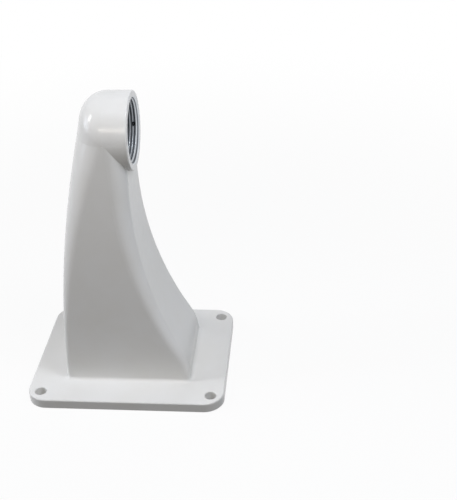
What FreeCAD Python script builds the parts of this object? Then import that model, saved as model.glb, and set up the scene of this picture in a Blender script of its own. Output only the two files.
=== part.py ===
"""Wall bracket for a dome camera: one hollow aluminium casting and its lock screw.

The casting stands on its wall plate. The origin is the centre of the plate's back face,
+Z points away from the wall, +X is the way the socket's mouth faces (down, once it is on
the wall) and Y runs across. The arm is the same on both sides of the XZ plane. Millimetres.
"""
import math
import os

import FreeCAD
import Part

V = FreeCAD.Vector

# Wall plate
PLATE_X = 157.0
PLATE_Y = 128.0
PLATE_T = 8.0
PLATE_CORNER_R = 16.0
PLATE_EDGE_R = 1.2

# Screw holes in the plate
HOLE_D = 9.0
HOLE_INSET_X = 10.5
HOLE_INSET_Y = 11.0
HOLE_CHAMFER = 0.5

# Socket: the cylinder that takes a 1 1/2 inch parallel pipe thread
THREAD_MAJOR_D = 47.8
THREAD_LENGTH = 22.0
SOCKET_WALL = 5.4
SOCKET_AXIS_Z = 210.5
MOUTH_X = 15.1
MOUTH_CHAMFER = 0.9
MOUTH_EDGE_R = 1.0

# Arm, seen from the side: the back of the arm, from the plate up
FOOT_REAR_X = -49.8
REAR_DRAFT = 0.0243
REAR_BEND_Z = 25.0
REAR_BEND_R = 930.0
SHOULDER_R = 20.6
TOP_RUN = 0.6
FLANK_RUN = 0.5

# Arm, seen from the side: the hollow curve of its front, and the toe that meets the plate
FOOT_FRONT_X = 50.15
TOE_R = 48.0
FRONT_CURVE_R = 293.0
FRONT_TOP_Z = 168.5
FRONT_SETBACK = 3.65

# Arm, seen from the end, and the rounding of its corners
FOOT_HALF_WIDTH = 37.2
REAR_CORNER_FOOT = 3.2
REAR_CORNER_GROWTH = 1.92
FRONT_CORNER_FOOT = 3.5
FRONT_CORNER_GROWTH = 0.6
FOOT_FILLET_R = 3.0

# Inside of the casting: the hollow of the arm, the way behind the thread, the end chamber
ARM_WALL = 4.5
INSIDE_CORNER_R = 2.5
CHAMBER_STEP = 1.0
CHAMBER_CORNER_R = 11.5
CHAMBER_BACK_WALL = 7.0
PASSAGE_HALF_WIDTH = 20.0
PASSAGE_CORNER_DEPTH = 8.5
PASSAGE_CORNER_SPREAD = 17.0

# Tapped hole in the flank of the socket, and the M4 lock screw that sits in it
LOCK_HOLE_D = 3.3
LOCK_HOLE_SETBACK = 4.3
LOCK_HOLE_DROP_DEG = 12.0
LOCK_SCREW_LENGTH = 4.0
LOCK_SCREW_RECESS = 0.5
LOCK_SCREW_CHAMFER = 0.3
KEY_WIDTH = 2.0
KEY_DEPTH = 1.6
CUP_R = 1.0
CUP_DEPTH = 0.5

# How the arm is drawn: the distance between its sections, and the arc kept as its crest
STATION_STEP = 12.0
CREST_ARC_DEG = 2.0
OVERSHOOT = 1.0
PRECISION = 1e-6

# Sizes that follow from those above
BORE_R = THREAD_MAJOR_D / 2
SOCKET_R = BORE_R + SOCKET_WALL
FRONT_TOP_X = MOUTH_X - FRONT_SETBACK
THREAD_BACK_X = MOUTH_X - THREAD_LENGTH
CEILING_Z = SOCKET_AXIS_Z - SOCKET_R - ARM_WALL
CHAMBER_R = BORE_R - CHAMBER_STEP
HOLE_X = PLATE_X / 2 - HOLE_INSET_X
HOLE_Y = PLATE_Y / 2 - HOLE_INSET_Y


def share(z):
    """How far up the arm a height lies: 0 at the plate, 1 at the socket's axis."""
    return max(0.0, (z - PLATE_T) / (SOCKET_AXIS_Z - PLATE_T))


def between(low, high, part):
    return low + (high - low) * part


def rear_angle(z):
    """Angle from upright of the arm's back at a height, in radians."""
    bent = max(0.0, z - REAR_BEND_Z) / REAR_BEND_R
    return math.asin(math.sin(math.atan(REAR_DRAFT)) + bent)


def rear_x(z):
    """Back of the arm: a drafted line up from the plate, then one large arc tangent to it."""
    bend_x = FOOT_REAR_X + REAR_DRAFT * (REAR_BEND_Z - PLATE_T)
    if z <= REAR_BEND_Z:
        return bend_x - REAR_DRAFT * (REAR_BEND_Z - z)
    return bend_x + REAR_BEND_R * (math.cos(rear_angle(REAR_BEND_Z)) - math.cos(rear_angle(z)))


def front_x(z):
    """Front of the arm: upright at the toe, a convex arc, a long hollow arc, then upright."""
    toe_centre_x = FOOT_FRONT_X - TOE_R
    curve_centre_x = FRONT_TOP_X + FRONT_CURVE_R
    reach = TOE_R + FRONT_CURVE_R
    across = curve_centre_x - toe_centre_x
    toe_centre_z = FRONT_TOP_Z - math.sqrt(reach ** 2 - across ** 2)
    tangent_z = toe_centre_z + TOE_R * (FRONT_TOP_Z - toe_centre_z) / reach
    if z <= toe_centre_z:
        return FOOT_FRONT_X
    if z <= tangent_z:
        return toe_centre_x + math.sqrt(TOE_R ** 2 - (z - toe_centre_z) ** 2)
    if z < FRONT_TOP_Z:
        return curve_centre_x - math.sqrt(FRONT_CURVE_R ** 2 - (FRONT_TOP_Z - z) ** 2)
    return FRONT_TOP_X


def shoulder_tangent():
    """Distance from the shoulder's sharp corner to either end of its arc."""
    return SHOULDER_R * math.tan((math.pi / 2 - rear_angle(SOCKET_AXIS_Z)) / 2)


def rear_corner_top():
    """Depth of the arm's back at the socket's axis: the shoulder's arc and a short run fit in."""
    lean = math.tan(rear_angle(SOCKET_AXIS_Z)) * SOCKET_R
    return lean + shoulder_tangent() + TOP_RUN


def front_corner_top():
    """Radius of a front corner at the socket's axis: what the back and a short flank leave."""
    return FRONT_TOP_X - rear_x(SOCKET_AXIS_Z) - rear_corner_top() - FLANK_RUN


def half_width(z):
    return between(FOOT_HALF_WIDTH, SOCKET_R, share(z))


def line(start, end):
    return Part.LineSegment(start, end).toShape()


def elliptic_arc(centre, along_x, along_y, first, last):
    """Arc of an ellipse in a horizontal plane, from one angle to another in degrees."""
    long_in_y = along_y > along_x
    ellipse = Part.Ellipse(V(0, 0, 0), max(along_x, along_y), min(along_x, along_y))
    spin = 90.0 if long_in_y else 0.0
    edge = ellipse.toShape(math.radians(first - spin), math.radians(last - spin))
    edge.rotate(V(0, 0, 0), V(0, 0, 1), spin)
    edge.translate(centre)
    return edge


def section(z, rear, front, half, depth, spread, front_r):
    """Closed wire at height z: a rectangle with rounded corners.

    A corner at the back is a quarter ellipse, depth along X and spread along Y. Where the
    two meet, the flat between them becomes the crest of one half ellipse.
    """
    rear_line = rear + depth
    front_line = front - front_r
    flat = half - spread
    soft = half - front_r
    crest = CREST_ARC_DEG if flat < PRECISION else 0.0
    edges = [
        elliptic_arc(V(front_line, soft, z), front_r, front_r, 0, 90),
        line(V(front_line, half, z), V(rear_line, half, z)),
        elliptic_arc(V(rear_line, flat, z), depth, spread, 90, 180 - crest),
        line(V(front, -soft, z), V(front, soft, z)),
        elliptic_arc(V(rear_line, -flat, z), depth, spread, 180 + crest, 270),
        line(V(rear_line, -half, z), V(front_line, -half, z)),
        elliptic_arc(V(front_line, -soft, z), front_r, front_r, 270, 360),
    ]
    if crest:
        back = elliptic_arc(V(rear_line, 0, z), depth, spread, 180 - crest, 180 + crest)
    else:
        back = line(V(rear, flat, z), V(rear, -flat, z))
    return Part.Wire(Part.__sortEdges__(edges + [back]))


def corner_sizes(z):
    """Depth and spread of a corner at the back, and radius of one at the front."""
    growth = share(z) ** REAR_CORNER_GROWTH
    depth = between(REAR_CORNER_FOOT, rear_corner_top(), growth)
    spread = between(REAR_CORNER_FOOT, SOCKET_R, growth)
    front_r = between(FRONT_CORNER_FOOT, front_corner_top(), share(z) ** FRONT_CORNER_GROWTH)
    return depth, spread, front_r


def arm_section(z):
    return section(z, rear_x(z), front_x(z), half_width(z), *corner_sizes(z))


def stations(low, high):
    """Evenly spaced heights from low to high, about a station's step apart."""
    count = math.ceil((high - low) / STATION_STEP)
    return [between(low, high, index / count) for index in range(count + 1)]


def arm():
    """Outer form of the arm, from inside the plate up to the socket's axis."""
    heights = [PLATE_T / 2] + stations(PLATE_T, SOCKET_AXIS_Z)
    return Part.makeLoft([arm_section(z) for z in heights], True, False)


def shoulder_profile():
    """Side view of the shoulder from its pivot: leaning line, arc, line along the top."""
    lean = rear_angle(SOCKET_AXIS_Z)
    tangent = shoulder_tangent()
    corner = V(-tangent - TOP_RUN, 0, SOCKET_R)
    up = V(math.sin(lean), 0, math.cos(lean))
    low = corner - up * tangent
    high = corner + V(tangent, 0, 0)
    centre = high - V(0, 0, SHOULDER_R)
    outward = (corner - centre).normalize()
    return [
        Part.LineSegment(V(-rear_corner_top(), 0, 0), low),
        Part.Arc(low, centre + outward * SHOULDER_R, high),
        Part.LineSegment(high, V(0, 0, SOCKET_R)),
    ]


def swept_patch(side, crown, origin):
    """Surface of a side curve scaled by a half circle: it shrinks to a point at each flank,
    meets the back of the arm in a half ellipse and the socket in a half circle."""
    side_poles, side_weights = side.getPoles(), side.getWeights()
    crown_poles, crown_weights = crown.getPoles(), crown.getWeights()
    poles = []
    weights = []
    for pole, weight in zip(side_poles, side_weights):
        poles.append([origin + pole * tip.z + V(0, tip.y * SOCKET_R, 0) for tip in crown_poles])
        weights.append([weight * other for other in crown_weights])
    surface = Part.BSplineSurface()
    surface.buildFromPolesMultsKnots(
        poles, side.getMultiplicities(), crown.getMultiplicities(),
        side.getKnots(), crown.getKnots(), False, False, side.Degree, crown.Degree, weights)
    return surface.toShape()


def shoulder():
    """Solid between the arm's top section and the back of the socket's half circle."""
    pivot = V(rear_x(SOCKET_AXIS_Z) + rear_corner_top(), 0, SOCKET_AXIS_Z)
    crown = Part.Arc(V(0, -1, 0), V(0, 0, 1), V(0, 1, 0)).toBSpline()
    faces = [swept_patch(side.toBSpline(), crown, pivot) for side in shoulder_profile()]
    left, right = pivot - V(0, SOCKET_R, 0), pivot + V(0, SOCKET_R, 0)
    ring = Part.Arc(left, pivot + V(0, 0, SOCKET_R), right).toShape()
    faces.append(Part.Face(Part.Wire([ring, line(right, left)])))
    back = elliptic_arc(pivot, rear_corner_top(), SOCKET_R, 90, 270)
    faces.append(Part.Face(Part.Wire([back, line(left, right)])))
    shell = Part.makeShell(faces)
    shell.sewShape()
    return Part.Solid(shell)


def plate():
    """Wall plate with rounded corners and a softened top edge."""
    block = Part.makeBox(PLATE_X, PLATE_Y, PLATE_T, V(-PLATE_X / 2, -PLATE_Y / 2, 0))
    upright = [edge for edge in block.Edges if edge.BoundBox.ZLength > PLATE_T / 2]
    block = block.makeFillet(PLATE_CORNER_R, upright)
    top = [edge for edge in block.Edges if edge.BoundBox.ZMin > PLATE_T - PRECISION]
    return block.makeFillet(PLATE_EDGE_R, top)


def socket():
    """Outer cylinder of the socket, with its mouth's edge softened."""
    back_x = rear_x(SOCKET_AXIS_Z) + rear_corner_top()
    centre = V(back_x, 0, SOCKET_AXIS_Z)
    body = Part.makeCylinder(SOCKET_R, MOUTH_X - back_x, centre, V(1, 0, 0))
    rim = [edge for edge in body.Edges if edge.BoundBox.XMin > MOUTH_X - PRECISION]
    return body.makeFillet(MOUTH_EDGE_R, rim)


def with_foot_fillet(body):
    """Round the inside corner where the arm stands on the plate."""
    foot = []
    for edge in body.Edges:
        box = edge.BoundBox
        level = abs(box.ZMin - PLATE_T) < PRECISION and abs(box.ZMax - PLATE_T) < PRECISION
        if level and max(abs(box.YMin), abs(box.YMax)) < FOOT_HALF_WIDTH + 1:
            foot.append(edge)
    return body.makeFillet(FOOT_FILLET_R, foot)


def arm_hollow():
    """Hollow of the arm, one wall inside its outer form, from the plate's back to the ceiling."""
    sections = []
    for z in [-OVERSHOOT] + stations(0, CEILING_Z):
        depth, spread, front_r = [max(size - ARM_WALL, INSIDE_CORNER_R) for size in corner_sizes(z)]
        rear, front = rear_x(z) + ARM_WALL, front_x(z) - ARM_WALL
        sections.append(section(z, rear, front, half_width(z) - ARM_WALL, depth, spread, front_r))
    return Part.makeLoft(sections, True, False)


def passage():
    """Way for the cable behind the thread, from the arm's hollow up to the end chamber."""
    sections = []
    for z in (CEILING_Z - ARM_WALL, SOCKET_AXIS_Z):
        rear = rear_x(z) + CHAMBER_BACK_WALL
        sections.append(section(z, rear, THREAD_BACK_X, PASSAGE_HALF_WIDTH, PASSAGE_CORNER_DEPTH,
                                PASSAGE_CORNER_SPREAD, INSIDE_CORNER_R))
    return Part.makeLoft(sections, True, True)


def bore():
    """Turned inside of the socket: mouth chamfer, thread bore and rounded end chamber."""
    back_x = rear_x(SOCKET_AXIS_Z) + CHAMBER_BACK_WALL
    corner_x = back_x + CHAMBER_CORNER_R
    corner_r = CHAMBER_R - CHAMBER_CORNER_R
    slant = CHAMBER_CORNER_R * math.sqrt(0.5)
    mouth_r = BORE_R + MOUTH_CHAMFER + OVERSHOOT

    def point(x, radius):
        return V(x, 0, SOCKET_AXIS_Z + radius)

    corner = Part.Arc(point(corner_x, CHAMBER_R), point(corner_x - slant, corner_r + slant),
                      point(back_x, corner_r)).toShape()
    outline = [
        line(point(back_x, 0), point(MOUTH_X + OVERSHOOT, 0)),
        line(point(MOUTH_X + OVERSHOOT, 0), point(MOUTH_X + OVERSHOOT, mouth_r)),
        line(point(MOUTH_X + OVERSHOOT, mouth_r), point(MOUTH_X - MOUTH_CHAMFER, BORE_R)),
        line(point(MOUTH_X - MOUTH_CHAMFER, BORE_R), point(THREAD_BACK_X, BORE_R)),
        line(point(THREAD_BACK_X, BORE_R), point(THREAD_BACK_X, CHAMBER_R)),
        line(point(THREAD_BACK_X, CHAMBER_R), point(corner_x, CHAMBER_R)),
        corner,
        line(point(back_x, corner_r), point(back_x, 0)),
    ]
    face = Part.Face(Part.Wire(outline))
    return face.revolve(point(0, 0), V(1, 0, 0), 360)


def screw_hole(x, y):
    """Through hole in the plate with a small chamfer at its top edge."""
    radius = HOLE_D / 2
    hole = Part.makeCylinder(radius, PLATE_T + 2 * OVERSHOOT, V(x, y, -OVERSHOOT))
    low = V(x, y, PLATE_T - HOLE_CHAMFER)
    depth = HOLE_CHAMFER + OVERSHOOT
    return hole.fuse(Part.makeCone(radius, radius + depth, depth, low))


def screw_holes():
    return [screw_hole(side_x * HOLE_X, side_y * HOLE_Y) for side_x in (-1, 1) for side_y in (-1, 1)]


def lock_line(radius):
    """Point at a radius on the lock hole's line, and the line's way out of the socket."""
    drop = math.radians(LOCK_HOLE_DROP_DEG)
    outward = V(0, math.cos(drop), -math.sin(drop))
    return V(MOUTH_X - LOCK_HOLE_SETBACK, 0, SOCKET_AXIS_Z) + outward * radius, outward


def lock_hole():
    """Radial tapped hole through the socket's +Y flank, a little below its axis."""
    return Part.makeCylinder(LOCK_HOLE_D / 2, 3 * SOCKET_WALL, *lock_line(BORE_R - SOCKET_WALL))


def lock_screw():
    """Grub screw as wide as its hole: chamfered ends, a cup at its point and a hex socket."""
    point, outward = lock_line(BORE_R + LOCK_SCREW_RECESS)
    screw = Part.makeCylinder(LOCK_HOLE_D / 2, LOCK_SCREW_LENGTH, point, outward)
    ends = [edge for edge in screw.Edges if edge.Closed]
    screw = screw.makeChamfer(LOCK_SCREW_CHAMFER, ends)
    cup = Part.makeCone(CUP_R, 0, CUP_DEPTH, point, outward)
    key_r = KEY_WIDTH / math.sqrt(3)
    corners = [V(key_r * math.cos(turn), key_r * math.sin(turn), 0)
               for turn in (math.radians(60 * step) for step in range(7))]
    key = Part.Face(Part.makePolygon(corners)).extrude(V(0, 0, KEY_DEPTH))
    key.Placement = FreeCAD.Placement(
        lock_line(BORE_R + LOCK_SCREW_RECESS + LOCK_SCREW_LENGTH - KEY_DEPTH)[0],
        FreeCAD.Rotation(V(0, 0, 1), outward))
    return screw.cut([cup, key]).Solids[0]


def bracket_casting():
    outside = plate().fuse([arm(), shoulder(), socket()]).removeSplitter()
    outside = with_foot_fillet(outside.Solids[0])
    inside = [arm_hollow(), passage(), bore(), lock_hole()] + screw_holes()
    return outside.cut(inside).Solids[0]


def main():
    os.makedirs("parts", exist_ok=True)
    for name, solid in (("bracket_casting", bracket_casting()), ("lock_screw", lock_screw())):
        solid.exportStep("parts/" + name + ".step")
        box = solid.BoundBox
        print(name, "valid", solid.isValid(), "faces", len(solid.Faces))
        print("volume cm3", round(solid.Volume / 1000, 3))
        print("size", round(box.XLength, 2), round(box.YLength, 2), round(box.ZLength, 2))


main()
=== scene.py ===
# %% [markdown]
# # A cast wall bracket, dressed and lit
#
# The object is one aluminium casting with an off-white powder coat: a screw plate, a hollow
# curved arm and a pipe socket at its end, with a small lock screw in the socket's side. The
# solids come from the construction model and are loaded here as a fixed frame, in metres. The
# origin is the middle of the plate's back face, +Z points away from the wall and +X is the way
# the socket's mouth faces.
#
# Three things are left for this file: the ridges of the pipe thread, the finish of every
# surface, and the light and camera of a product photograph.

# %% The libraries and the frame
import math

import bpy
import numpy as np
from mathutils import Matrix, Vector


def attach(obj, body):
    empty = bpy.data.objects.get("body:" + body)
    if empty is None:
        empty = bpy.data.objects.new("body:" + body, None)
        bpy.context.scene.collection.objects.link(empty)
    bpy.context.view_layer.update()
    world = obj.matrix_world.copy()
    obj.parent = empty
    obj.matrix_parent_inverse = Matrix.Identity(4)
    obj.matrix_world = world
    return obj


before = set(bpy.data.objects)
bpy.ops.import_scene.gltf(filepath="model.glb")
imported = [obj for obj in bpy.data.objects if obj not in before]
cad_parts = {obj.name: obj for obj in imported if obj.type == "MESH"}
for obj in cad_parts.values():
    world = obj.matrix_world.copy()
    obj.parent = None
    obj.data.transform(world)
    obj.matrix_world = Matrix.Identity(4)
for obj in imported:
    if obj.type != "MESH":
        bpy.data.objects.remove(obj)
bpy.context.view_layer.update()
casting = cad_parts["bracket_casting"]
lock_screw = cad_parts["lock_screw"]

# %% [markdown]
# ## The camera
#
# A photograph can be undone: the plate's straight edges, the ring of the socket and the
# outline of the arm fix where the camera stood. The fit gives an azimuth, a height above the
# horizon, a small roll and a lens. The picture is 457 by 500 pixels, and a focal length in
# pixels becomes one in millimetres through the sensor's long side, which is the picture's
# height here.

# %% Camera
PICTURE_WIDTH = 457
PICTURE_HEIGHT = 500
SENSOR = 36.0
FOCAL_PIXELS = 945.4
CAMERA_PLACE = Vector((0.13955, -0.62276, 0.49341))
CAMERA_AZIMUTH = math.radians(5.356)
CAMERA_HEIGHT = math.radians(31.524)
CAMERA_ROLL = math.radians(-1.979)
CLIP_START = 0.01
CLIP_END = 50.0


def camera_axes(azimuth, height, roll):
    """Right, up and back of a camera: back points from the scene to the lens, right is level,
    and the roll turns right and up about back."""
    back = Vector((math.sin(azimuth) * math.cos(height),
                   -math.cos(azimuth) * math.cos(height),
                   math.sin(height)))
    level = Vector((math.cos(azimuth), math.sin(azimuth), 0.0))
    upright = back.cross(level)
    right = level * math.cos(roll) + upright * math.sin(roll)
    return right, back.cross(right), back


def add_camera(place, axes, focal_pixels):
    """The scene's camera, from its place, its three axes and its focal length in pixels."""
    data = bpy.data.cameras.new("product_camera")
    data.sensor_width = SENSOR
    data.lens = focal_pixels * SENSOR / max(PICTURE_WIDTH, PICTURE_HEIGHT)
    data.clip_start = CLIP_START
    data.clip_end = CLIP_END
    camera = bpy.data.objects.new("product_camera", data)
    turn = Matrix(axes).transposed().to_4x4()
    camera.matrix_world = Matrix.Translation(place) @ turn
    bpy.context.scene.collection.objects.link(camera)
    bpy.context.scene.camera = camera
    return camera


camera = add_camera(CAMERA_PLACE, camera_axes(CAMERA_AZIMUTH, CAMERA_HEIGHT, CAMERA_ROLL),
                    FOCAL_PIXELS)
print("lens in mm:", round(camera.data.lens, 2))

# %% [markdown]
# ## The pipe thread
#
# The socket takes a parallel pipe thread: eleven ridges to the inch, with rounded crests. A
# carved thread is heavy to build as a solid, and the solid's bore is therefore plain at the
# widest radius of the thread. Here the ridges are laid on that bore as a sleeve.
#
# A screw sweep would do it, but its ends need trimming. A surface of two parameters is
# simpler: the radius depends on the place along the axis and on the angle round it, and the
# same formula fades the ridge out at the back and cuts it with the cone of the mouth's chamfer.

# %% Sizes of the thread, in metres
INCH = 0.0254
RIDGES_PER_INCH = 11
DEPTH_PER_PITCH = 0.640327
AXIS_HEIGHT = 0.2105
MOUTH_X = 0.0151
MAJOR_RADIUS = 0.0239
THREAD_LENGTH = 0.022
THREAD_PITCH = INCH / RIDGES_PER_INCH
THREAD_DEPTH = DEPTH_PER_PITCH * THREAD_PITCH
THREAD_BACK_X = MOUTH_X - THREAD_LENGTH
CHAMFER = 0.0009
THREAD_FRONT_X = MOUTH_X - CHAMFER
# The sleeve stands SKIN inside the bore's wall and its back is BURIED behind that wall.
SKIN = 0.00003
BURIED = 0.0003
RUN_OUT = 0.6 * THREAD_PITCH
START_TURN = 1 / 3
print("ridges in the socket:", round((THREAD_FRONT_X - THREAD_BACK_X) / THREAD_PITCH, 2))

# %% [markdown]
# The profile of one ridge is a triangle wave with its peaks and valleys rounded off. The
# arcsine of a sine is a triangle wave, and a sine held a little under 1 rounds its corners. Its
# flanks are about 68 degrees apart: with the true depth and a plain wave they come out blunter
# than the standard's 55.

# %% Formula of the thread
CORNER_ROUNDING = 0.965


def ridge_profile(turns):
    """Height of the ridge from 0 in the groove to 1 on the crest: the arcsine of a slightly
    flattened sine, which is a triangle wave whose corners are rounded."""
    wave = np.sin(2 * np.pi * turns) * CORNER_ROUNDING
    return 0.5 + np.arcsin(wave) / (2 * np.arcsin(CORNER_ROUNDING))


def thread_radius(x, angle):
    """Radius of the sleeve's inside: the bore's radius less the ridge, which climbs one pitch
    a turn, fades to nothing at the back and is cut by the chamfer's cone at the mouth."""
    turns = (x - THREAD_BACK_X) / THREAD_PITCH - angle / (2 * np.pi) - START_TURN
    fade = np.clip((x - THREAD_BACK_X) / RUN_OUT, 0.0, 1.0)
    fade = fade * fade * (3 - 2 * fade)
    ridge = THREAD_DEPTH * ridge_profile(turns) * fade
    cone = MAJOR_RADIUS + (x - THREAD_FRONT_X)
    return np.maximum(MAJOR_RADIUS - SKIN - ridge, np.minimum(cone, MAJOR_RADIUS - SKIN))


# %% [markdown]
# A tube is closed by letting the grid run along the inside, across the end, back along the
# outside and across the other end. Both directions of the grid then wrap round, and the mesh
# has no border.

# %% Helper: a mesh from a grid that wraps both ways
def wrapped_grid_mesh(name, points):
    """Mesh of a grid of points, rows by columns by 3, whose last row joins the first and whose
    last column joins the first: face (i, j) spans rows i, i+1 and columns j, j+1."""
    rows, columns, _ = points.shape
    index = np.arange(rows * columns).reshape(rows, columns)
    down = np.roll(index, -1, axis=0)
    right = np.roll(index, -1, axis=1)
    both = np.roll(down, -1, axis=1)
    faces = np.stack([index, right, both, down], axis=-1).reshape(-1, 4)
    mesh = bpy.data.meshes.new(name)
    mesh.from_pydata(points.reshape(-1, 3), [], faces)
    mesh.polygons.foreach_set("use_smooth", np.ones(len(faces), dtype=bool))
    mesh.update()
    return mesh


# %% The sleeve with its ridges
THREAD_COLUMNS = 224
ROWS_PER_PITCH = 15


def thread_points():
    """Grid of the sleeve: x and radius run round its wall, the angle runs round the axis."""
    angle = np.linspace(0.0, 2 * np.pi, THREAD_COLUMNS, endpoint=False)
    length = THREAD_FRONT_X - THREAD_BACK_X
    rows = round(length / THREAD_PITCH * ROWS_PER_PITCH)
    inside_x = np.linspace(THREAD_BACK_X, THREAD_FRONT_X, rows)
    inside_r = thread_radius(inside_x[:, None], angle[None, :])
    outside_x = inside_x[::-1][:: ROWS_PER_PITCH]
    outside_r = np.full((len(outside_x), len(angle)), MAJOR_RADIUS + BURIED)
    x = np.concatenate([inside_x, outside_x])[:, None] + np.zeros_like(angle)[None, :]
    r = np.concatenate([inside_r, outside_r])
    return np.stack([x, r * np.cos(angle), AXIS_HEIGHT + r * np.sin(angle)], axis=-1)


def add_object(name, mesh):
    """A finished piece: its object stays at the origin and its place is in the mesh."""
    piece = bpy.data.objects.new(name, mesh)
    bpy.context.scene.collection.objects.link(piece)
    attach(piece, "root")
    return piece


thread = add_object("thread_ridges", wrapped_grid_mesh("thread_ridges", thread_points()))
print("thread triangles:", 2 * len(thread.data.polygons))

# %% [markdown]
# The tapped hole of the lock screw crosses the thread. A drill does it on the real part, and
# here a boolean cuts the sleeve with a drill-sized bar.

# %% The drill and its cut
LOCK_HOLE_RADIUS = 0.00165
LOCK_HOLE_X = MOUTH_X - 0.0043
LOCK_HOLE_DROP = math.radians(12.0)
DRILL_SIDES = 48
DRILL_REACH = (0.020, 0.027)


def drill_mesh():
    """Closed bar: two circles, one inside the bore and one past the sleeve, about a line that
    leaves the socket's axis sideways and a little downwards."""
    out = np.array([0.0, math.cos(LOCK_HOLE_DROP), -math.sin(LOCK_HOLE_DROP)])
    side = np.array([1.0, 0.0, 0.0])
    other = np.cross(out, side)
    turn = np.linspace(0.0, 2 * np.pi, DRILL_SIDES, endpoint=False)[:, None]
    circle = LOCK_HOLE_RADIUS * (np.cos(turn) * side + np.sin(turn) * other)
    base = np.array([LOCK_HOLE_X, 0.0, AXIS_HEIGHT])
    points = np.concatenate([base + out * reach + circle for reach in DRILL_REACH])
    near = np.arange(DRILL_SIDES)
    after = np.roll(near, -1)
    walls = np.stack([near, after, after + DRILL_SIDES, near + DRILL_SIDES], axis=-1)
    ends = [near[::-1].tolist(), (near + DRILL_SIDES).tolist()]
    mesh = bpy.data.meshes.new("drill")
    mesh.from_pydata(points, [], walls.tolist() + ends)
    mesh.update()
    return mesh


def drill_through(piece):
    """Cut the drill out of a piece's mesh and remove the drill."""
    drill = bpy.data.objects.new("drill", drill_mesh())
    bpy.context.scene.collection.objects.link(drill)
    cut = piece.modifiers.new("drill", "BOOLEAN")
    cut.operation = "DIFFERENCE"
    cut.solver = "EXACT"
    cut.object = drill
    graph = bpy.context.evaluated_depsgraph_get()
    drilled = bpy.data.meshes.new_from_object(piece.evaluated_get(graph))
    piece.modifiers.clear()
    piece.data = drilled
    bpy.data.objects.remove(drill)


drill_through(thread)
print("thread triangles, drilled:", sum(len(face.vertices) - 2 for face in thread.data.polygons))

# %% [markdown]
# ## Helpers for the finishes
#
# Every finish is a small network of nodes. The helpers place a node, set its values and
# join it, and then each material reads like a recipe.

# %% Helper: nodes
def node(tree, kind, values=None, **settings):
    """A node with its settings, and its inputs set to numbers or joined to sockets."""
    made = tree.nodes.new(kind)
    for name, value in settings.items():
        setattr(made, name, value)
    for name, value in (values or {}).items():
        if isinstance(value, bpy.types.NodeSocket):
            tree.links.new(value, made.inputs[name])
        else:
            made.inputs[name].default_value = value
    return made


def math_node(tree, operation, first, second=0.0, third=0.0):
    """The result of one sum; a third value is used by MULTIPLY_ADD alone."""
    made = node(tree, "ShaderNodeMath", {0: first, 1: second, 2: third}, operation=operation)
    return made.outputs[0]


def ramp(tree, value, low, high, to_low=0.0, to_high=1.0):
    """A smooth step of a value, from low to high, turned into to_low to to_high."""
    made = node(tree, "ShaderNodeMapRange",
                {"Value": value, "From Min": low, "From Max": high,
                 "To Min": to_low, "To Max": to_high},
                interpolation_type="SMOOTHSTEP")
    return made.outputs["Result"]


def mix_node(tree, kind, share, first, second):
    """The first value where the share is 0 and the second where it is 1."""
    made = node(tree, "ShaderNodeMix", {"Factor": share, "A": first, "B": second}, data_type=kind)
    return made.outputs["Result"]


def mix_value(tree, share, first, second):
    return mix_node(tree, "FLOAT", share, first, second)


def mix_colour(tree, share, first, second):
    return mix_node(tree, "RGBA", share, first, second)


# %% [markdown]
# ## Groups of effects
#
# The finishes share their effects. Powder coat, cut metal and blackened steel all have a slow
# drift in tone or gloss. The coat, the bare casting and the steel carry a fine grain, and cut
# metal is found both on the thread and on the casting. An effect that is used twice is a group
# with named inputs and outputs.

# %% Helper: an empty group
def new_group(name, inputs, outputs):
    """An empty shader group with float or colour sockets."""
    tree = bpy.data.node_groups.new(name, "ShaderNodeTree")
    for socket_name, kind, value in inputs:
        socket = tree.interface.new_socket(socket_name, in_out="INPUT", socket_type=kind)
        socket.default_value = value
    for socket_name, kind in outputs:
        tree.interface.new_socket(socket_name, in_out="OUTPUT", socket_type=kind)
    return tree, tree.nodes.new("NodeGroupInput"), tree.nodes.new("NodeGroupOutput")


def place_group(tree, group, **values):
    """A use of a group, with its named inputs set or joined."""
    inputs = {name.replace("_", " "): value for name, value in values.items()}
    return node(tree, "ShaderNodeGroup", inputs, node_tree=group)


# %% Group: grain
COARSE_NOISE = {"Detail": 1.0, "Roughness": 0.4}
FINE_NOISE = {"Detail": 2.0, "Roughness": 0.5}
TIMES_FINER = 3.7


def grain_group():
    """Two sizes of soft bumps on Object coordinates, added into one height."""
    tree, given, result = new_group(
        "grain",
        [("Size", "NodeSocketFloat", 0.001), ("Fine Share", "NodeSocketFloat", 0.3)],
        [("Height", "NodeSocketFloat")])
    place = node(tree, "ShaderNodeTexCoord").outputs["Object"]
    per_metre = math_node(tree, "DIVIDE", 1.0, given.outputs["Size"])
    coarse = node(tree, "ShaderNodeTexNoise",
                  {"Vector": place, "Scale": per_metre, **COARSE_NOISE})
    finer = math_node(tree, "MULTIPLY", per_metre, TIMES_FINER)
    fine = node(tree, "ShaderNodeTexNoise", {"Vector": place, "Scale": finer, **FINE_NOISE})
    part = math_node(tree, "MULTIPLY", fine.outputs["Fac"], given.outputs["Fine Share"])
    height = math_node(tree, "ADD", coarse.outputs["Fac"], part)
    tree.links.new(height, result.inputs["Height"])
    return tree


GRAIN = grain_group()


# %% Group: drift
CLOUD_NOISE = {"Detail": 3.0, "Roughness": 0.55}
CLOUD_RANGE = (0.25, 0.75)


def drift_group():
    """A slow drift over the surface, from 0 to 1 and mostly near the middle."""
    tree, given, result = new_group(
        "drift", [("Size", "NodeSocketFloat", 0.03)], [("Drift", "NodeSocketFloat")])
    place = node(tree, "ShaderNodeTexCoord").outputs["Object"]
    per_metre = math_node(tree, "DIVIDE", 1.0, given.outputs["Size"])
    clouds = node(tree, "ShaderNodeTexNoise",
                  {"Vector": place, "Scale": per_metre, **CLOUD_NOISE})
    tree.links.new(ramp(tree, clouds.outputs["Fac"], *CLOUD_RANGE), result.inputs["Drift"])
    return tree


DRIFT = drift_group()

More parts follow.
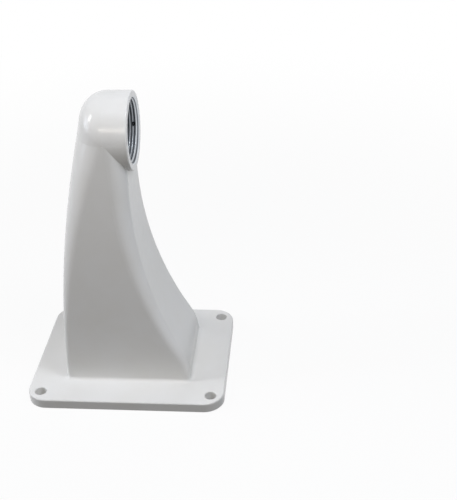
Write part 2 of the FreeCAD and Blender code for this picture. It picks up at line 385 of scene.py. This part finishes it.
# %% [markdown]
# A turning tool leaves rings round the socket's axis. In Object coordinates the rings depend on
# X, with a little waver: a noise that is fine along X and stretched out across it.
#
# The thread's grooves are painted darker. This is painted shade for the shade that the ridges throw
# on one another: full in the grooves and thin on the flanks. Each has its own distance from the
# axis, and ramps over that distance tell them apart.

# %% Group: distance from the socket's axis
def axis_distance_group():
    """Distance from the socket's axis and the place along it, in metres."""
    tree, _, result = new_group(
        "axis_distance", [], [("Distance", "NodeSocketFloat"), ("Along", "NodeSocketFloat")])
    place = node(tree, "ShaderNodeTexCoord").outputs["Object"]
    from_axis = node(tree, "ShaderNodeVectorMath", {0: place, 1: (0.0, 0.0, AXIS_HEIGHT)},
                     operation="SUBTRACT")
    parts = node(tree, "ShaderNodeSeparateXYZ", {0: from_axis.outputs[0]}).outputs
    square = math_node(tree, "ADD", math_node(tree, "MULTIPLY", parts["Y"], parts["Y"]),
                       math_node(tree, "MULTIPLY", parts["Z"], parts["Z"]))
    tree.links.new(math_node(tree, "SQRT", square), result.inputs["Distance"])
    tree.links.new(parts["X"], result.inputs["Along"])
    return tree


AXIS_DISTANCE = axis_distance_group()

# %% Group: cut metal
METAL_LIGHT = (0.66, 0.69, 0.72, 1.0)
METAL_DULL = (0.57, 0.60, 0.63, 1.0)
# Painted shade: the colour that the thread's grooves are darkened to, standing in for the shade
# between the ridges.
GROOVE_SHADE_COLOUR = (0.16, 0.17, 0.185, 1.0)
CREST_RADIUS = MAJOR_RADIUS - THREAD_DEPTH
FLANK_SHADE_SHARE = 0.3
FLANK_STARTS = CREST_RADIUS + 0.05 * THREAD_DEPTH
GROOVE_STARTS = CREST_RADIUS + 0.55 * THREAD_DEPTH
GROOVE_FULL = CREST_RADIUS + 0.85 * THREAD_DEPTH
SHADE_THINS = MAJOR_RADIUS + 0.00005
SHADE_ENDS = MAJOR_RADIUS + 0.00025
TOOL_RINGS = (9000.0, 60.0, 60.0)
DULLED_SIZE = 0.012
METAL_ROUGHNESS = (0.42, 0.62)


def cut_metal_group():
    """Colour, roughness and height of dulled aluminium with the rings of a cutting tool, and
    with painted shade that is thin on the thread's flanks and full in its grooves."""
    tree, _, result = new_group(
        "cut_metal", [],
        [("Color", "NodeSocketColor"),
         ("Roughness", "NodeSocketFloat"),
         ("Height", "NodeSocketFloat")])
    place = node(tree, "ShaderNodeTexCoord").outputs["Object"]
    stretched = node(tree, "ShaderNodeVectorMath", {0: place, 1: TOOL_RINGS}, operation="MULTIPLY")
    rings = node(tree, "ShaderNodeTexNoise",
                 {"Vector": stretched.outputs[0], "Scale": 1.0, "Detail": 1.0}).outputs["Fac"]
    dulled = place_group(tree, DRIFT, Size=DULLED_SIZE).outputs["Drift"]
    metal = mix_colour(tree, dulled, METAL_LIGHT, METAL_DULL)
    distance = place_group(tree, AXIS_DISTANCE).outputs["Distance"]
    flank = ramp(tree, distance, FLANK_STARTS, GROOVE_STARTS, 0.0, FLANK_SHADE_SHARE)
    groove = ramp(tree, distance, GROOVE_STARTS, GROOVE_FULL, 0.0, 1.0 - FLANK_SHADE_SHARE)
    # Painted shade: thin on the flanks, full in the grooves, and faded out past the bore's wall.
    groove_shade = math_node(tree, "MULTIPLY", math_node(tree, "ADD", flank, groove),
                     ramp(tree, distance, SHADE_THINS, SHADE_ENDS, 1.0, 0.0))
    tree.links.new(mix_colour(tree, groove_shade, metal, GROOVE_SHADE_COLOUR), result.inputs["Color"])
    tree.links.new(ramp(tree, groove_shade, 0.0, 1.0, *METAL_ROUGHNESS), result.inputs["Roughness"])
    tree.links.new(rings, result.inputs["Height"])
    return tree


CUT_METAL = cut_metal_group()
print("groups made:", [group.name for group in bpy.data.node_groups])

# %% [markdown]
# ## The finishes
#
# The coat covers the casting everywhere but in the socket. The tool has cut it away at the
# mouth's chamfer, and the chamber behind the thread was plugged while the coat was sprayed. A
# mask finds both by their distance from the socket's axis, in front of a bowl that follows the
# chamber's back. The chamber is as cast: rougher and duller than what the tool has touched.

# %% Helper: where the socket is bare
BARE_RADIUS = 0.02485
BOWL_BACK_X = -0.0215
BOWL_CURVE = 29000.0


def bare_mask(tree):
    """1 inside the socket and 0 outside: r < BARE_RADIUS and x > BOWL_BACK_X + BOWL_CURVE r^4."""
    socket = place_group(tree, AXIS_DISTANCE).outputs
    near = math_node(tree, "LESS_THAN", socket["Distance"], BARE_RADIUS)
    fourth_power = math_node(tree, "POWER", socket["Distance"], 4.0)
    bowl = math_node(tree, "MULTIPLY_ADD", fourth_power, BOWL_CURVE, BOWL_BACK_X)
    in_front = math_node(tree, "GREATER_THAN", socket["Along"], bowl)
    return math_node(tree, "MULTIPLY", near, in_front)


# %% Helpers: a new material and its bumps
def new_material(name):
    """A material with its tree and its main shader."""
    material = bpy.data.materials.new(name)
    material.use_nodes = True
    return material, material.node_tree, material.node_tree.nodes["Principled BSDF"]


def set_bump(tree, shader, height, strength, distance):
    """A bump on a shader's normal: a share of a distance in metres."""
    bump = node(tree, "ShaderNodeBump",
                {"Strength": strength, "Distance": distance, "Height": height})
    tree.links.new(bump.outputs["Normal"], shader.inputs["Normal"])


# %% Material: powder coat
COAT_COLOUR = (0.80, 0.80, 0.785, 1.0)
COAT_WARM = (0.775, 0.77, 0.745, 1.0)
COAT_DRIFT_SIZE = 0.035
COAT_ROUGHNESS = (0.18, 0.25)
GLOSSY_PATCH_SIZE = 0.009
ORANGE_PEEL = {"Size": 0.0013, "Fine_Share": 0.35}
CAST_COLOUR = (0.36, 0.37, 0.385, 1.0)
CAST_ROUGHNESS = 0.68
CAST_SKIN = {"Size": 0.0007, "Fine_Share": 0.8}
CAST_SKIN_DEPTH = 9.0
CASTING_BUMP = (0.05, 0.0002)


def powder_coat():
    """The casting's finish: coat outside, cut metal in the thread and bare casting behind it."""
    material, tree, shader = new_material("powder_coat_finish")
    bare = bare_mask(tree)
    metal = place_group(tree, CUT_METAL).outputs
    drift = place_group(tree, DRIFT, Size=COAT_DRIFT_SIZE).outputs["Drift"]
    coat = mix_colour(tree, drift, COAT_COLOUR, COAT_WARM)
    along = place_group(tree, AXIS_DISTANCE).outputs["Along"]
    behind_thread = math_node(tree, "LESS_THAN", along, THREAD_BACK_X)
    as_cast = math_node(tree, "MULTIPLY", bare, behind_thread)
    bare_colour = mix_colour(tree, as_cast, metal["Color"], CAST_COLOUR)
    tree.links.new(mix_colour(tree, bare, coat, bare_colour), shader.inputs["Base Color"])
    tree.links.new(bare, shader.inputs["Metallic"])
    glossy_patches = place_group(tree, DRIFT, Size=GLOSSY_PATCH_SIZE).outputs["Drift"]
    coat_roughness = ramp(tree, glossy_patches, 0.0, 1.0, *COAT_ROUGHNESS)
    bare_roughness = mix_value(tree, as_cast, metal["Roughness"], CAST_ROUGHNESS)
    roughness = mix_value(tree, bare, coat_roughness, bare_roughness)
    tree.links.new(roughness, shader.inputs["Roughness"])
    orange_peel = place_group(tree, GRAIN, **ORANGE_PEEL).outputs["Height"]
    cast_skin = place_group(tree, GRAIN, **CAST_SKIN).outputs["Height"]
    cast_height = math_node(tree, "MULTIPLY", cast_skin, CAST_SKIN_DEPTH)
    set_bump(tree, shader, mix_value(tree, as_cast, orange_peel, cast_height), *CASTING_BUMP)
    return material


casting.data.materials[0] = powder_coat()

# %% Material: bare thread
TOOL_RING_BUMP = (0.05, 0.00005)


def bare_thread():
    """The ridges' finish: cut metal with the rings of the tool."""
    material, tree, shader = new_material("bare_thread_finish")
    metal = place_group(tree, CUT_METAL).outputs
    tree.links.new(metal["Color"], shader.inputs["Base Color"])
    tree.links.new(metal["Roughness"], shader.inputs["Roughness"])
    shader.inputs["Metallic"].default_value = 1.0
    set_bump(tree, shader, metal["Height"], *TOOL_RING_BUMP)
    return material


thread.data.materials.clear()
thread.data.materials.append(bare_thread())

# %% Material: black oxide
OXIDE_COLOUR = (0.035, 0.036, 0.040, 1.0)
OXIDE_METALLIC = 0.6
OXIDE_DRIFT_SIZE = 0.002
OXIDE_ROUGHNESS = (0.30, 0.50)
OXIDE_GRAIN_SIZE = 0.0003
OXIDE_BUMP = (0.1, 0.00003)


def black_oxide():
    """The lock screw's finish: blackened steel."""
    material, tree, shader = new_material("black_oxide_finish")
    shader.inputs["Base Color"].default_value = OXIDE_COLOUR
    shader.inputs["Metallic"].default_value = OXIDE_METALLIC
    drift = place_group(tree, DRIFT, Size=OXIDE_DRIFT_SIZE).outputs["Drift"]
    tree.links.new(ramp(tree, drift, 0.0, 1.0, *OXIDE_ROUGHNESS), shader.inputs["Roughness"])
    grain = place_group(tree, GRAIN, Size=OXIDE_GRAIN_SIZE).outputs["Height"]
    set_bump(tree, shader, grain, *OXIDE_BUMP)
    return material


lock_screw.data.materials[0] = black_oxide()

# %% [markdown]
# ## Floor, world and lamps
#
# A product photograph stands on white paper that burns out. The paper here is white to the
# camera and in reflections, with a small share of plain shading left in it near the object for
# its shadow. To all other light it is a dull grey, and so it doesn't fill the undersides.

# %% Floor
FLOOR_HALF = 4.0
FLOOR_DROP = 0.0001
FLOOR_BOUNCE = (0.12, 0.12, 0.12, 1.0)
FLOOR_SEEN = (0.80, 0.80, 0.80, 1.0)
FLOOR_WHITE = 0.92
SHADOW_REACH = (0.2, 0.8)
PURE_WHITE = {"Color": (1.0, 1.0, 1.0, 1.0), "Strength": 1.0}


def seen_directly(tree):
    """1 for what the camera sees itself, in a reflection or through something, else 0."""
    path = node(tree, "ShaderNodeLightPath")
    first = math_node(tree, "MAXIMUM", path.outputs["Is Camera Ray"], path.outputs["Is Glossy Ray"])
    return math_node(tree, "MAXIMUM", first, path.outputs["Is Transmission Ray"])


def add_floor():
    """A square of paper just under the plate, whose white share grows to 1 away from it."""
    signs = [(-1, -1), (1, -1), (1, 1), (-1, 1)]
    corners = [(FLOOR_HALF * x, FLOOR_HALF * y, 0.0) for x, y in signs]
    mesh = bpy.data.meshes.new("floor")
    mesh.from_pydata(corners, [], [(0, 1, 2, 3)])
    floor = bpy.data.objects.new("floor", mesh)
    floor.location.z = -FLOOR_DROP
    bpy.context.scene.collection.objects.link(floor)
    material = bpy.data.materials.new("floor_paper")
    material.use_nodes = True
    tree = material.node_tree
    tree.nodes.remove(tree.nodes["Principled BSDF"])
    seen = seen_directly(tree)
    paper_colour = mix_colour(tree, seen, FLOOR_BOUNCE, FLOOR_SEEN)
    paper = node(tree, "ShaderNodeBsdfDiffuse", {"Color": paper_colour})
    white = node(tree, "ShaderNodeEmission", PURE_WHITE)
    place = node(tree, "ShaderNodeTexCoord").outputs["Object"]
    distance = node(tree, "ShaderNodeVectorMath", {0: place}, operation="LENGTH").outputs["Value"]
    white_share = ramp(tree, distance, *SHADOW_REACH, to_low=FLOOR_WHITE, to_high=1.0)
    share = math_node(tree, "MULTIPLY", seen, white_share)
    mixed = node(tree, "ShaderNodeMixShader", {0: share, 1: paper.outputs[0], 2: white.outputs[0]})
    tree.links.new(mixed.outputs[0], tree.nodes["Material Output"].inputs["Surface"])
    mesh.materials.append(material)


add_floor()

# %% World
WORLD_COLOUR = (1.0, 1.0, 1.0, 1.0)
WORLD_STRENGTH = 0.12


def add_world():
    """White where it is seen, and a weak even light otherwise."""
    world = bpy.data.worlds.new("studio")
    bpy.context.scene.world = world
    world.use_nodes = True
    tree = world.node_tree
    plain = tree.nodes["Background"]
    plain.inputs["Color"].default_value = WORLD_COLOUR
    plain.inputs["Strength"].default_value = WORLD_STRENGTH
    white = node(tree, "ShaderNodeBackground", PURE_WHITE)
    mixed = node(tree, "ShaderNodeMixShader",
                 {0: seen_directly(tree), 1: plain.outputs[0], 2: white.outputs[0]})
    tree.links.new(mixed.outputs[0], tree.nodes["World Output"].inputs["Surface"])


add_world()

# %% [markdown]
# The lamps are ovals that stand on spheres round the middle of the object: an azimuth from the
# camera's side, a height above the horizon and a distance. A broad cool lamp on the left is the
# window. A narrow one above it makes the sharp glint on the shoulder, and a flat one in front
# makes the pale line along the socket. A high one on the right shines into the socket, and bare
# metal shows it only by mirroring it. The other near lamps model the plate, the socket and the
# hollow face, and a low one behind keeps the far side readable. These others are not mirrored
# in any surface: they stand for light from behind a large scrim.

# %% Lamps
LAMPS = {
    # name: (azimuth, height, distance, width, tall, power, colour), in degrees, metres and watts
    "window": (270, 12, 1.5, 0.8, 0.8, 4.5, (0.79, 0.86, 1.0)),
    "glint": (278.8, 34.0, 1.5, 0.18, 0.42, 3.3, (1.0, 0.98, 0.98)),
    "near_left": (275, 25, 0.5, 0.2, 0.2, 0.50, (0.92, 0.95, 1.0)),
    "near_front": (352, 34, 0.52, 0.32, 0.07, 0.34, (1.0, 0.91, 0.81)),
    "near_right": (70, 38, 0.5, 0.3, 0.3, 0.52, (0.86, 0.92, 1.0)),
    "near_right_high": (60, 60, 0.8, 0.32, 0.32, 2.1, (0.92, 0.94, 1.0)),
    "near_overhead": (0, 75, 1.0, 0.35, 0.35, 1.8, (0.93, 0.94, 1.0)),
    "far_side": (180, 4, 1.5, 0.8, 0.8, 5.0, (1.0, 1.0, 1.0)),
}
MIRRORED = {"window", "glint", "near_front", "near_right_high"}
AIM = Vector((0.0, 0.0, 0.11))


def add_lamp(name, azimuth, height, distance, width, tall, power, colour):
    """An oval lamp that faces the middle of the object."""
    data = bpy.data.lights.new(name, "AREA")
    data.shape = "ELLIPSE"
    data.size = width
    data.size_y = tall
    data.energy = power
    data.color = colour
    lamp = bpy.data.objects.new(name, data)
    away = camera_axes(math.radians(azimuth), math.radians(height), 0.0)[2]
    lamp.location = AIM + away * distance
    lamp.rotation_euler = away.to_track_quat("Z", "Y").to_euler()
    lamp.visible_glossy = name in MIRRORED
    bpy.context.scene.collection.objects.link(lamp)


for name, settings in LAMPS.items():
    add_lamp(name, *settings)

# %% Finish
scene = bpy.context.scene
scene.view_settings.view_transform = "Standard"
